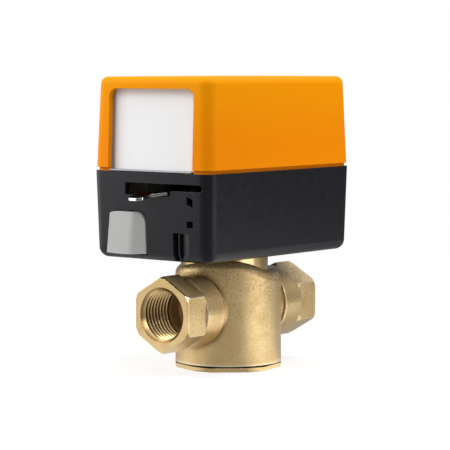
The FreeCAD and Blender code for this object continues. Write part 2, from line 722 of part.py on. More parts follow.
def label_panel():
    """Inner panel that closes the window, with a thin foot along its lower edge."""
    z0 = BASE_TOP_Z + 0.2
    z1 = COVER_TOP_Z - COVER_WALL - 0.4
    y0 = cover_front_y(z0) + PANEL_INSET
    y1 = cover_front_y(z1) + PANEL_INSET
    t = PANEL_THICKNESS
    plate = prism_yz([(y0, z0), (y1, z1), (y1 + t, z1), (y0 + t, z0)], -23.4, 23.4)
    plate = plate.makeFillet(3.0, edges_where(plate, upper_corners(z1)))
    foot = box(-20.3, 19.8, y0 - PANEL_INSET + 0.35, y0 + 1, z0, z0 + 0.5)
    foot = foot.makeFillet(0.4, edges_where(foot, leaning(z0, z0 + 0.5)))
    return fused(plate, foot)


def rating_label():
    """Blank label on the panel."""
    z0 = BASE_TOP_Z + 0.75
    z1 = WINDOW_TOP_Z + 1.2
    y0 = cover_front_y(z0) + PANEL_INSET
    y1 = cover_front_y(z1) + PANEL_INSET
    outline = [(y0 - LABEL_THICKNESS, z0), (y1 - LABEL_THICKNESS, z1), (y1, z1), (y0, z0)]
    sheet = prism_yz(outline, -20.0, 21.7)
    return sheet.makeFillet(2.6, edges_where(sheet, upper_corners(z1)))


def button_section(z, out, width, right_facet):
    """Plan outline of the button at height z: flat middle, sloping facets, straight tail."""
    left, right = width
    face = base_front_y(z)
    side = face - 0.35
    front = face - out
    tail = base_front_y(BUTTON_TOP_Z) + 5.2
    points = [(left, tail), (left, side), (left + BUTTON_LEFT_FACET, front),
              (right - right_facet, front), (right, side), (right, tail)]
    return [at(x, y, z) for x, y in points]


def release_button():
    z0 = BUTTON_BOTTOM_Z - 0.4
    z1 = BUTTON_TOP_Z
    lower = button_section(z0, BUTTON_OUT[0], BUTTON_BOTTOM_X, BUTTON_RIGHT_FACET[0])
    upper = button_section(z1, BUTTON_OUT[1], BUTTON_TOP_X, BUTTON_RIGHT_FACET[1])
    block = Part.makeLoft([Part.makePolygon(p + p[:1]) for p in (lower, upper)], True, True)
    ridge = edges_where(block, lambda e: e.BoundBox.ZLength > 10 and -9 < e.CenterOfMass.x < -5)
    block = block.makeFillet(BUTTON_RIDGE_R, ridge)
    cap = block.common(button_prism(0.0, -52, -38))
    flange_y = BUTTON_FLANGE_Y
    flange = box(-22.6, 0.3, flange_y, flange_y + 1.4, FLOOR_Z + 1.3, BUTTON_TOP_Z + 1.6)
    pocket = box(-18.6, -3.4, flange_y - 3.2, flange_y + 6, LATCH_Z + LATCH_T + 8.0, BUTTON_TOP_Z - 1.6)
    tab_slot = box(-14.6, -6.4, flange_y - 1.0, flange_y + 6, FLOOR_Z - 1, LATCH_Z + 8.2)
    return fused(cap, flange).cut([pocket, tab_slot])


# --- latch ----------------------------------------------------------------------------

def latch_plate():
    """Sliding plate whose hole grips the collar's groove until the button pushes it back."""
    z0 = LATCH_Z
    z1 = LATCH_Z + LATCH_T
    flange_y = BUTTON_FLANGE_Y
    plate = box(-21.0, 21.0, -21.5, 24.0, z0, z1)
    tongue = box(-14.5, -6.5, flange_y - 0.8, -20, z0, z1)
    front_tab = box(-14.5, -6.5, flange_y - 0.8, flange_y + 0.7, z0, z0 + 7.6)
    rear_tab = box(-4.0, 4.0, 22.5, 24.0, z0, z0 + 7.5)
    hole = rod(LATCH_HOLE_R, z0 - 1, z1 + 1, (0, -LATCH_TRAVEL))
    return fused(plate, tongue, front_tab, rear_tab).cut(hole)


def latch_spring():
    spring = coil_spring(2.5, 0.4, 13.9, 7.0)
    return turned_to(spring, X_AXIS, -90, at(0, 24.15, LATCH_Z + 4.6))


# --- lever and output shaft -------------------------------------------------------------

def output_bush():
    """Flanged bearing riveted in the chassis plate; the lever's bush turns on its outside."""
    outside = fused(rod(6.0, 62.4, 74.0), rod(9.0, CHASSIS_Z + CHASSIS_T, 68.0))
    return outside.cut(rod(SHAFT_R + RUNNING_FIT, 61, 75))


def lever_bush():
    """Bobbin that carries the lever, with two notches that drive it and let it rock."""
    bobbin = fused(rod(7.2, 68.15, 73.6), rod(9.2, 68.15, 69.7), rod(9.2, 72.1, 73.6))
    notches = [box(s * 7.0 - 0.75, s * 7.0 + 0.75, -1.9, 1.9, 69.7, 72.1) for s in (-1, 1)]
    return bobbin.cut([rod(6.0 + RUNNING_FIT, 67, 75)] + notches)


def manual_lever():
    """Pressed steel lever: ring round its bush, arm, wider shoulder at the wall and a dropped tip."""
    bend_y = -45.7
    tip_drop = 1.9
    z0 = LEVER_Z
    ring = rod(LEVER_HUB_R, z0, z0 + LEVER_T)
    arm = box(-3.9, 3.9, bend_y, 0, z0, z0 + LEVER_T)
    shoulder_x = 8.5
    shoulder = prism_xy([(0, -34.0), (4.0, -34.0), (shoulder_x, -38.0), (shoulder_x, -44.9), (7.8, bend_y),
                         (0, bend_y)], z0, z0 + LEVER_T)
    slope = [(bend_y, z0), (bend_y, z0 + LEVER_T), (LEVER_TIP_Y, z0 + LEVER_T - tip_drop),
             (LEVER_TIP_Y, z0 - tip_drop)]
    plan = [(-3.9, bend_y), (-LEVER_HALF_WIDTH, bend_y - 1), (-LEVER_HALF_WIDTH, LEVER_TIP_Y),
            (LEVER_HALF_WIDTH, LEVER_TIP_Y), (LEVER_HALF_WIDTH, -48.4), (5.2, -48.0), (7.8, bend_y)]
    tip = prism_yz(slope, -12, 12).common(prism_xy(plan, z0 - 3, z0 + 3))
    tip_edges = edges_where(tip, lambda e: same_x(e) and e.BoundBox.YMax < LEVER_TIP_Y + 1e-3)
    tip = tip.makeFillet(2.2, tip_edges)
    # the tab stands behind the cam's trailing edge and pushes it to open the valve
    push_tab = box(-2.0, 1.0, -LEVER_HUB_R - 0.2, -LEVER_HUB_R + 0.8, z0, 78.0)
    dogs = [box(s * 7.1 - 0.6, s * 7.1 + 0.6, -1.5, 1.5, z0, z0 + LEVER_T) for s in (-1, 1)]
    opened = fused(ring, arm, shoulder, tip).cut(rod(7.55, z0 - 1, z0 + 2))
    return fused(opened, *dogs, push_tab)


def output_shaft():
    shaft = rod(SHAFT_R, 59.6, GEAR_PLATE_Z + GEAR_PLATE_T)
    return shaft.makeChamfer(0.4, edges_where(shaft, flat_at(GEAR_PLATE_Z + GEAR_PLATE_T)))


def output_coupling():
    """Sleeve that joins the output shaft to the D-shaped top of the valve's stem."""
    sleeve = rod(6.5, 53.6, 62.0)
    sleeve = sleeve.makeChamfer(0.6, edges_where(sleeve, flat_at(53.6)))
    socket = d_section(COUPLING_R + 0.06, COUPLING_FLAT + 0.06, 53.0, STEM_TOP_Z + 0.3)
    return sleeve.cut([socket, rod(SHAFT_R, 59.6, 63)])


def sector_gear():
    """Toothed sector with its hub and the cam that presses the end switch."""
    z0, z1 = 75.2, 77.2
    toward = bearing(STEM_AXIS, LOWER_AXLE)
    wheel = gear(SECTOR_TEETH, SECTOR_MODULE, z0, z1, STEM_AXIS, toward)
    reach = 30.0
    start, end = toward - OPEN_ANGLE - 12.0, toward + 12.0
    angles = [math.radians(start + (end - start) * i / 4) for i in range(5)]
    wedge = [(0, 0)] + [(reach * math.cos(a), reach * math.sin(a)) for a in angles]
    sector = wheel.common(prism_xy(wedge, z0 - 1, z1 + 1))
    disc = rod(CAM_DISC_R, z0, z1)
    cam = spun(cam_lobe(z0, z1), -OPEN_ANGLE)
    hub = rod(6.5, 74.3, 79.0)
    window = spun(prism_xy([(10.8, -3.2), (15.2, -4.6), (15.2, 4.6), (10.8, 3.2)], z0 - 1, z1 + 1),
                  (start + end) / 2)
    return fused(sector, disc, cam, hub).cut([rod(SHAFT_R, 73, 80), window])


def cam_lobe(z0, z1):
    """Rounded lobe that points along +X when the valve is open."""
    nose_r = 2.0
    nose = (CAM_R - nose_r, 0.0)
    web = prism_xy([(0, -7.0), (nose[0], -nose_r), (nose[0], nose_r), (0, 7.0)], z0, z1)
    return fused(rod(nose_r, z0, z1, nose), web)


def half_ring(r_in, width, z0, z1, centre_x, upper):
    ring = tube(r_in, r_in + width, z0, z1, (centre_x, 0))
    keep = box(-30, 30, 0, 30, z0 - 1, z1 + 1) if upper else box(-30, 30, -30, 0, z0 - 1, z1 + 1)
    return ring.common(keep)


def return_spring():
    """Flat spiral spring: its inner end grips the output shaft, its outer end reaches the anchor post."""
    z0, z1 = SPIRAL_Z
    half_step = 0.275
    turns = []
    r = SHAFT_R + 0.4
    for i in range(14):
        upper = i % 2 == 0
        turns.append(half_ring(r, SPIRAL_WIRE, z0, z1, 0.0 if upper else half_step, upper))
        r += half_step
    inner_tang = box(SHAFT_R, SHAFT_R + 0.5, 0, SPIRAL_WIRE, z0, z1).cut(rod(SHAFT_R, z0 - 1, z1 + 1))
    outer_tang = box(r, ANCHOR_X - ANCHOR_R - 0.06, -SPIRAL_WIRE, 0, z0, z1)
    return fused(*turns, inner_tang, outer_tang)


def spring_anchor():
    """Post riveted in the gear plate that holds the spiral spring's outer end."""
    return rod(ANCHOR_R, SPIRAL_Z[0] - 0.4, GEAR_PLATE_Z + GEAR_PLATE_T, (ANCHOR_X, 0))


# --- plates, posts and fasteners ----------------------------------------------------------

def chassis_plate():
    z0, z1 = CHASSIS_Z, CHASSIS_Z + CHASSIS_T
    plate = box(-25.2, 25.2, -36.6, 40.6, z0, z1)
    plate = plate.makeFillet(3.0, edges_where(plate, leaning(z0, z1)))
    holes = [rod(6.0, z0 - 1, z1 + 1)]
    holes += [rod(AXLE_R, z0 - 1, z1 + 1, p) for p in (LOWER_AXLE, UPPER_AXLE)]
    holes += [rod(1.4, z0 - 1, z1 + 1, p) for p in POST_POINTS[:2]]
    holes += [rod(1.55, z0 - 1, z1 + 1, p) for p in BOSS_POINTS]
    holes += [rod(1.3, z0 - 1, z1 + 1, (20.0, y)) for y in (-5.0, 5.0)]
    return plate.cut(holes)


def pan_screw(centre, head_z, head_r, shank_r, length):
    """Upright screw with a cross-slotted pan head sitting at head_z."""
    head = rod(head_r, head_z, head_z + head_r * 0.7, centre)
    head = head.makeFillet(head_r * 0.3, edges_where(head, flat_at(head_z + head_r * 0.7)))
    shank = rod(shank_r, head_z - length, head_z + 0.1, centre)
    arm = head_r * 0.55
    x, y = centre
    top = head_z + head_r * 0.7
    cross = [box(x - arm, x + arm, y - 0.25, y + 0.25, top - 0.8, top + 1),
             box(x - 0.25, x + 0.25, y - arm, y + arm, top - 0.8, top + 1)]
    return fused(head, shank).cut(cross)


def chassis_screws():
    """The two front screws; the rear posts screw down through the plate into the rear bosses."""
    top = CHASSIS_Z + CHASSIS_T
    return Part.makeCompound([pan_screw(p, top, 2.6, 1.08, 9.0) for p in BOSS_POINTS[:2]])


def frame_posts():
    """Pillars between the plates: the front two are riveted, the rear two screw into the bosses."""
    z0 = CHASSIS_Z + CHASSIS_T
    posts = []
    for p in POST_POINTS:
        if p in BOSS_POINTS:
            foot = rod(1.08, CHASSIS_Z - 9.0, z0 + 0.1, p)
        else:
            foot = rod(1.4, CHASSIS_Z - 0.6, z0 + 0.1, p)
        spigot = rod(1.5, GEAR_PLATE_Z - 0.1, GEAR_PLATE_Z + GEAR_PLATE_T + 2.6, p)
        posts.append(fused(rod(2.4, z0, GEAR_PLATE_Z, p), foot, spigot))
    return Part.makeCompound(posts)


def frame_nuts():
    z0 = GEAR_PLATE_Z + GEAR_PLATE_T
    nuts = []
    for p in POST_POINTS:
        nut = prism_xy(regular(6, 2.9, p), z0, z0 + 2.0)
        nuts.append(nut.cut(rod(1.52, z0 - 1, z0 + 3, p)))
    return Part.makeCompound(nuts)


def gear_plate():
    """Upper plate of the gear frame, which also closes the motor can."""
    z0, z1 = GEAR_PLATE_Z, GEAR_PLATE_Z + GEAR_PLATE_T
    plate = box(-25.0, 25.0, -17.6, 41.2, z0, z1)
    plate = plate.makeFillet(3.0, edges_where(plate, leaning(z0, z1)))
    holes = [rod(SHAFT_R + RUNNING_FIT, z0 - 1, z1 + 1)]
    holes += [rod(AXLE_R, z0 - 1, z1 + 1, p) for p in (LOWER_AXLE, UPPER_AXLE)]
    holes += [rod(1.5, z0 - 1, z1 + 1, p) for p in POST_POINTS]
    holes.append(rod(MOTOR_SHAFT_R + RUNNING_FIT, z0 - 1, z1 + 1, MOTOR_AXIS))
    holes.append(rod(ANCHOR_R, z0 - 1, z1 + 1, (ANCHOR_X, 0)))
    return plate.cut(holes + can_tabs(0.05))


def gear_axles():
    top = GEAR_PLATE_Z + GEAR_PLATE_T
    return Part.makeCompound([rod(AXLE_R, CHASSIS_Z, top, p) for p in (LOWER_AXLE, UPPER_AXLE)])


def compound_gear(centre, pinion_z, wheel_z, pinion_module, pinion_phase, wheel_phase):
    """Pinion and wheel moulded as one, running on a fixed axle."""
    pinion = gear(PINION_TEETH, pinion_module, pinion_z, wheel_z, centre, pinion_phase)
    wheel = gear(WHEEL_TEETH, WHEEL_MODULE, wheel_z, wheel_z + 1.6, centre, wheel_phase)
    boss = rod(2.2, wheel_z, wheel_z + 2.2, centre)
    thinned = tube(4.2, 8.2, wheel_z + 1.1, wheel_z + 2, centre)
    holes = [rod(1.3, wheel_z - 1, wheel_z + 3, p) for p in regular(4, 6.2, centre, 45)]
    bore = rod(AXLE_R + RUNNING_FIT, pinion_z - 1, wheel_z + 4, centre)
    return fused(pinion, wheel, boss).cut([thinned, bore] + holes)


def lower_gear():
    return compound_gear(LOWER_AXLE, 74.6, 79.2, SECTOR_MODULE,
                         gap_phase(bearing(LOWER_AXLE, STEM_AXIS), PINION_TEETH),
                         bearing(LOWER_AXLE, UPPER_AXLE))


def upper_gear():
    return compound_gear(UPPER_AXLE, 78.8, 83.4, WHEEL_MODULE,
                         gap_phase(bearing(UPPER_AXLE, LOWER_AXLE), PINION_TEETH),
                         bearing(UPPER_AXLE, MOTOR_AXIS))


def axle_spacers():
    """Plain sleeves that hold the two gears up from the chassis plate."""
    low = tube(AXLE_R + 0.02, 2.2, CHASSIS_Z + CHASSIS_T, 74.4, LOWER_AXLE)
    high = tube(AXLE_R + 0.02, 2.2, CHASSIS_Z + CHASSIS_T, 78.6, UPPER_AXLE)
    return Part.makeCompound([low, high])


# --- motor ------------------------------------------------------------------------------

def motor_pinion():
    phase = gap_phase(bearing(MOTOR_AXIS, UPPER_AXLE), MOTOR_PINION_TEETH)
    wheel = gear(MOTOR_PINION_TEETH, WHEEL_MODULE, 83.0, 86.4, MOTOR_AXIS, phase)
    return wheel.cut(rod(MOTOR_SHAFT_R, 82, 88, MOTOR_AXIS))


def motor_shaft():
    return rod(MOTOR_SHAFT_R, 82.6, 107.6, MOTOR_AXIS)


def motor_rotor():
    rotor = tube(MOTOR_SHAFT_R, ROTOR_R, 91.5, 106.0, MOTOR_AXIS)
    return rotor.makeChamfer(0.4, edges_where(rotor, lambda e: e.BoundBox.XLength > 2 * ROTOR_R - 0.1))


def motor_bobbin():
    """Plastic spool of the motor's winding."""
    z0, z1 = 89.0, 107.2
    cheeks = [rod(21.4, z, z + 1.4, MOTOR_AXIS) for z in (z0, z1 - 1.4)]
    spool = fused(rod(11.0, z0, z1, MOTOR_AXIS), *cheeks)
    return spool.cut(rod(9.6, z0 - 1, z1 + 1, MOTOR_AXIS))


def motor_coil():
    return tube(11.0, 20.4, 90.4, 105.8, MOTOR_AXIS)


def can_tabs(grow):
    """Three tabs at the can's rim that pass through the gear plate, grown sideways by grow."""
    radius = CAN_R - CAN_WALL / 2
    tabs = []
    for angle in (60, 180, 300):
        tab = box(radius - CAN_WALL / 2 - grow, radius + CAN_WALL / 2 + grow, -2.5 - grow, 2.5 + grow,
                  GEAR_PLATE_Z - 0.9, GEAR_PLATE_Z + GEAR_PLATE_T + 0.5)
        tab.translate(at(MOTOR_AXIS[0], MOTOR_AXIS[1], 0))
        tabs.append(spun(tab, angle, MOTOR_AXIS))
    return tabs


def motor_can():
    """Drawn steel can with a pressed bearing boss on its closed end and three tabs at its rim."""
    z0 = GEAR_PLATE_Z + GEAR_PLATE_T
    outer = rod(CAN_R, z0, CAN_TOP_Z, MOTOR_AXIS)
    outer = outer.makeFillet(1.6, edges_where(outer, flat_at(CAN_TOP_Z)))
    boss = rod(4.2, CAN_TOP_Z - 0.1, CAN_TOP_Z + 1.2, MOTOR_AXIS)
    hollow = rod(CAN_R - CAN_WALL, z0 - 1, CAN_TOP_Z - CAN_WALL, MOTOR_AXIS)
    bearing_hole = rod(MOTOR_SHAFT_R + RUNNING_FIT, CAN_TOP_Z - 3, CAN_TOP_Z + 0.2, MOTOR_AXIS)
    seat = tube(MOTOR_SHAFT_R + RUNNING_FIT, 4.0, 107.2, CAN_TOP_Z - CAN_WALL + 0.1, MOTOR_AXIS)
    shell = fused(outer, boss).cut([hollow, bearing_hole])
    return fused(shell, seat, *can_tabs(0.0))


# --- end switch and wiring ----------------------------------------------------------------

def end_switch():
    x0, x1 = SWITCH_FACE_X, SWITCH_FACE_X + 9.6
    z0, z1 = SWITCH_MID_Z - 3.2, SWITCH_MID_Z + 3.2
    case = box(x0, x1, -9.9, 9.9, z0, z1)
    case = case.makeFillet(0.5, edges_where(case, leaning(z0, z1)))
    holes = [rod(1.2, z0 - 1, z1 + 1, (20.0, y)) for y in (-5.0, 5.0)]
    holes.append(rod_x(1.25, x0 - 1, x0 + 3.0, 0, SWITCH_MID_Z))
    return case.cut(holes)


def switch_plunger():
    nose_x = SWITCH_FACE_X - 1.1
    stalk = rod_x(1.2, nose_x, SWITCH_FACE_X + 2.2, 0, SWITCH_MID_Z)
    return stalk.makeFillet(0.5, edges_where(stalk, lambda e: e.BoundBox.XMax < nose_x + 1e-3))


def switch_terminals():
    tags = []
    for y in (-7.5, 0.0, 7.5):
        tag = box(22.0, 23.0 + 1.6, y - 0.25, y + 0.25, SWITCH_MID_Z + 3.2, SWITCH_MID_Z + 9.4)
        tags.append(tag.cut(Part.makeCylinder(0.5, 3, at(23.3, y - 1.5, SWITCH_MID_Z + 7.8), Y_AXIS)))
    return Part.makeCompound(tags)


def switch_bracket():
    """Folded bracket that lifts the end switch to the cam."""
    foot_z = CHASSIS_Z + CHASSIS_T
    shelf_z = SWITCH_MID_Z - 3.2
    foot = box(16.6, 25.0, -8.4, 8.4, foot_z, foot_z + 1.0)
    wall = box(24.0, 25.0, -8.4, 8.4, foot_z, shelf_z)
    shelf = box(16.6, 25.0, -8.4, 8.4, shelf_z - 1.0, shelf_z)
    holes = [rod(1.2, foot_z - 1, shelf_z + 1, (20.0, y)) for y in (-5.0, 5.0)]
    return fused(foot, wall, shelf).cut(holes)


def switch_screws():
    top = SWITCH_MID_Z + 3.2
    return Part.makeCompound([pan_screw((20.0, y), top, 2.0, 1.15, 14.2) for y in (-5.0, 5.0)])


def terminal_block():
    """Three-way screw terminal for the supply wires."""
    z0 = CHASSIS_Z + CHASSIS_T
    block = box(-24.0, -14.0, -29.9, -16.6, z0, z0 + 10.0)
    cuts = []
    for y in TERMINAL_YS:
        cuts.append(rod(1.6, z0 + 4.0, z0 + 11, (-17.6, y)))
        cuts.append(box(-25, -20.2, y - 1.4, y + 1.4, z0 + 1.6, z0 + 4.6))
        cuts.append(box(-16.0, -13, y - 1.4, y + 1.4, z0 + 1.6, z0 + 4.6))
    return block.cut(cuts)


def terminal_screws():
    z0 = CHASSIS_Z + CHASSIS_T + 4.0
    screws = []
    for y in TERMINAL_YS:
        screw = rod(1.5, z0, z0 + 4.6, (-17.6, y))
        screws.append(screw.cut(box(-20, -15, y - 0.3, y + 0.3, z0 + 3.8, z0 + 6)))
    return Part.makeCompound(screws)


def cable_grommet():
    """Rubber bush in the rear wall, where the supply lead enters."""
    outside = -base_front_y(GROMMET_Z)
    inside = outside - WALL - 0.25
    bore, seat = GROMMET_BORE_R, GROMMET_SEAT_R
    collar = outside + 0.25
    profile = [(bore, outside - 4.4), (6.6, outside - 4.4), (6.6, inside), (seat, inside),
               (seat, collar), (7.4, collar), (6.8, outside + 2.2), (bore, outside + 2.2)]
    wire = Part.makePolygon([at(r, y, GROMMET_Z) for r, y in profile + profile[:1]])
    return Part.Face(wire).revolve(at(0, 0, GROMMET_Z), Y_AXIS, 360)


# --- export ---------------------------------------------------------------------------------

SUB_PARTS = [
    valve_body, bottom_cap, cap_seal, gland_bush, valve_stem, stem_seals, stem_circlip,
    shoe_carrier, shoe_spring, seat_shoe, base_housing, cover, label_panel, rating_label,
    release_button, latch_plate, latch_spring, output_bush, lever_bush, manual_lever, output_shaft,
    output_coupling, sector_gear, return_spring, spring_anchor, chassis_plate, chassis_screws,
    frame_posts, frame_nuts, gear_plate, gear_axles, axle_spacers, lower_gear, upper_gear,
    motor_pinion, motor_shaft, motor_rotor, motor_bobbin, motor_coil, motor_can, end_switch,
    switch_plunger, switch_terminals, switch_bracket, switch_screws, terminal_block,
    terminal_screws, cable_grommet,
]

os.makedirs("parts", exist_ok=True)
for make in SUB_PARTS:
    shape = make()
    shape.exportStep("parts/" + make.__name__ + ".step")
    print(make.__name__, len(shape.Solids), "solids", round(shape.Volume, 1), "mm3, valid", shape.isValid())
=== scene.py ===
import bmesh
import bpy
import json
import math
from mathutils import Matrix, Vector


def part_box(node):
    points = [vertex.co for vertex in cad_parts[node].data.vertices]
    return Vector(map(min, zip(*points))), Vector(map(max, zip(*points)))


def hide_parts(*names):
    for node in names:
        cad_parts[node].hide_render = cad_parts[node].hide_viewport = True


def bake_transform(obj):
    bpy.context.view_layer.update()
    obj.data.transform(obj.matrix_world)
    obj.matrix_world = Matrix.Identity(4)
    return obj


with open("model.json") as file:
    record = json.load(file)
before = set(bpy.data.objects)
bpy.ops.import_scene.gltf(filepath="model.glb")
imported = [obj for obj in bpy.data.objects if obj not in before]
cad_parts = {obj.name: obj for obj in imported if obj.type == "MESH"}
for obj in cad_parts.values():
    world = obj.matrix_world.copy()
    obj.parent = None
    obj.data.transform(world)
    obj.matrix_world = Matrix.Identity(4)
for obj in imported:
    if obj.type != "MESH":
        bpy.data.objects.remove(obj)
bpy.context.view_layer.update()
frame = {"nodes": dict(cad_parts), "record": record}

NODES = frame["nodes"]

# --- places in the frame, in metres ---
PIPE_AXIS_Z = 0.02375            # height of the pipe's axis
BODY_AXIS_Y = 0.0025             # the barrel's axis stands this far behind the origin
TURNED_PORT_R = 0.0108           # brass nearer than this to the pipe's axis is turned
PORT_END = 0.0190                # a port's bore lies beyond this distance from the body's axis
THREAD_END = 0.0262              # and its thread beyond this one
PORT_FACE = 0.0400               # beyond this distance lie the turned port faces
THREAD_SHADE_R = (0.0096, 0.0103)      # painted shade darkens the thread towards its roots between these radii
COLLAR_R = 0.01752               # the turned collar lies inside this radius
COLLAR_BOTTOM_Z = 0.0387         # and above this height
CASTING_DIRT_Z = (0.018, 0.036)  # the pits get darker over this height
CAP_GAP_SHADOW_Z = (0.00145, 0.0017)  # painted shadow: the cap is darkened over this height, in the gap above its flange
COVER_PAINTED_LIGHT_Z = (0.090, 0.116)    # painted highlight: the cover is painted lighter and yellower over this height

# --- camera, fitted to the photograph's viewing angle ---
AZIMUTH = math.radians(38.6)     # from the front port's side towards +X
ELEVATION = math.radians(4.47)
DISTANCE = 0.813
LENS = 164.2
SENSOR = 36.0
CLIP = (0.05, 20.0)
AIM = Vector((0.0, 0.0025, 0.05595))
AIM_SHIFT = -0.00129             # along the camera's right

# --- finishes ---
BRASS_LIGHT = (0.82, 0.61, 0.31)
BRASS_WARM = (0.68, 0.46, 0.20)
BRASS_DEEP = (0.30, 0.17, 0.06)
# bright brass of worn edges, which also serves as a painted highlight
BRASS_WORN_AND_LIT = (0.97, 0.83, 0.56)
# colour of the painted shadow in the gap above the cap's flange
CAP_GAP_SHADOW = (0.02, 0.015, 0.01)
ORANGE = (0.84, 0.26, 0.0)
# the cover's orange below the painted highlight, and the lighter orange of the highlight at its top
ORANGE_BELOW_PAINTED_LIGHT = (0.83, 0.240, 0.0)
ORANGE_PAINTED_LIGHT = (0.86, 0.305, 0.0)
PLASTIC_EDGE = 0.00025           # radii that edges are softened to
METAL_EDGE = 0.00015
CAST_EDGE = 0.0003
PLASTIC_GRAIN = 0.000006         # depths of the surfaces' relief
TOOL_LINES = 0.000008
CAST_GRAIN = 0.00005
CAST_PITS = 0.00004

# noise scales, in features per metre
MOTTLING = 60.0
SHEEN = 300.0
SPARK_GRAIN = 4000.0
TARNISH = 90.0
TOOL_LINE = 900.0
CAP_TARNISH = 200.0
CAP_LINE = 800.0
STAIN = 130.0
PIT = 1900.0
SAND_GRAIN = 3000.0
FLOOR_CLOUD = 3.0
MIDDLE = (0.3, 0.7)              # the part of a noise's range that is used

# cast brass: how dull and how much rougher each zone is, and how strongly its dirt, its painted
# shade and its worn edges with painted highlight show
DUST_ON_SIDES = 0.18
DUST_ON_TOPS = 0.60
DUST_IN_BORE = 0.45
TOPS = (0.1, 0.8)                # upward part of the normal over which sides turn into tops
CAST_ROUGHER = 0.10
BORE_ROUGHER = 0.30
PORT_ROUGHER = 0.09
BRASS_ROUGHNESS = (0.14, 0.24)
PIT_LIMITS = (0.52, 0.66)        # noise values from clean brass to the middle of a pit
STAIN_LIMITS = (0.35, 0.75)
LOW_PITS = 0.35                  # share of the pits' dirt low on the casting
PIT_DIRT = 0.8
THREAD_SHADE = 0.85
CREASE_SHADE = 0.85
CREASE_SHADE_REACH = 0.0030            # how far from a corner the painted shade reaches
CREASE_SHADE_LIMITS = (0.60, 0.93)     # openness over which it thins out
EDGE_WEAR_AND_HIGHLIGHT = 0.9
WEAR_AND_HIGHLIGHT_REACH = 0.0011              # how far from an edge the brass is worn bright and carries a painted highlight
WEAR_AND_HIGHLIGHT_LIMITS = (0.70, 0.95)
OFF, ON = 0.0, 1.0

# --- latch spring ---
SPRING_TURNS = 8.5
SPRING_STEPS = 28                # points along the wire in one turn
SPRING_WIRE = 0.0004             # radius of the wire
WIRE_SIDES = 10

# --- floor and sky ---
FLOOR_SIZE = 12.0
SEEN_GLOW = 0.72                 # how far the seen floor is lifted to white near the object
SEEN_RANGE = (0.1, 0.5)          # distances over which the rest of the lift comes
FRONT_GLOW = 0.46                # radiance of the floor in reflections, in front of the object
LEFT_GLOW = 0.95                 # at its left, as the camera sees it
RIGHT_GLOW = 1.30                # at its right
FAR_GLOW = 0.15                  # and further out
GLOW_BEGINS = (28.0, 48.0)       # degrees round from the camera over which a side's glow rises
GLOW_ENDS = (92.0, 118.0)        # and over which it falls again
GLOW_REACH = (0.30, 0.46)        # distances over which it falls to the far value
SIDE_BLEND = 0.01                # half the width over which left turns into right
SKY_HEIGHT = (0.15, 0.8)         # sine of the elevation, from the dim horizon to the ceiling
SKY_GLOW = (0.18, 1.0)

# name, direction round from the camera, elevation, distance, size, radiance, height aimed at
LIGHTS = (
    ("left_softbox", -97.0, 0.0, 0.26, (0.27, 0.22), 1.6, 0.130),
    ("right_softbox", 62.0, 0.0, 0.26, (0.19, 0.05), 1.5, 0.036),
    ("left_key", -82.0, 38.0, 1.0, (0.6, 0.5), 4.2, AIM.z),
    ("right_key", 90.0, 58.0, 1.0, (0.6, 0.5), 6.0, AIM.z),
    ("front_fill", 8.0, 28.0, 1.1, (0.25, 0.5), 5.0, AIM.z),
)


def towards_viewer(azimuth, elevation):
    """Unit vector from the object to a place at this azimuth and elevation."""
    flat = math.cos(elevation)
    return Vector((math.sin(azimuth) * flat, -math.cos(azimuth) * flat, math.sin(elevation)))


def aimed(name, data, location, back):
    """Object at this location that looks the opposite way to back."""
    made = bpy.data.objects.new(name, data)
    made.location = location
    made.rotation_mode = "QUATERNION"
    made.rotation_quaternion = (-back).to_track_quat("-Z", "Y")
    bpy.context.scene.collection.objects.link(made)
    return made


def make_camera():
    right = Vector((math.cos(AZIMUTH), math.sin(AZIMUTH), 0.0))
    back = towards_viewer(AZIMUTH, ELEVATION)
    data = bpy.data.cameras.new("camera")
    data.lens = LENS
    data.sensor_width = SENSOR
    data.clip_start, data.clip_end = CLIP
    camera = aimed("camera", data, AIM + right * AIM_SHIFT + back * DISTANCE, back)
    bpy.context.scene.camera = camera


# --- materials ---

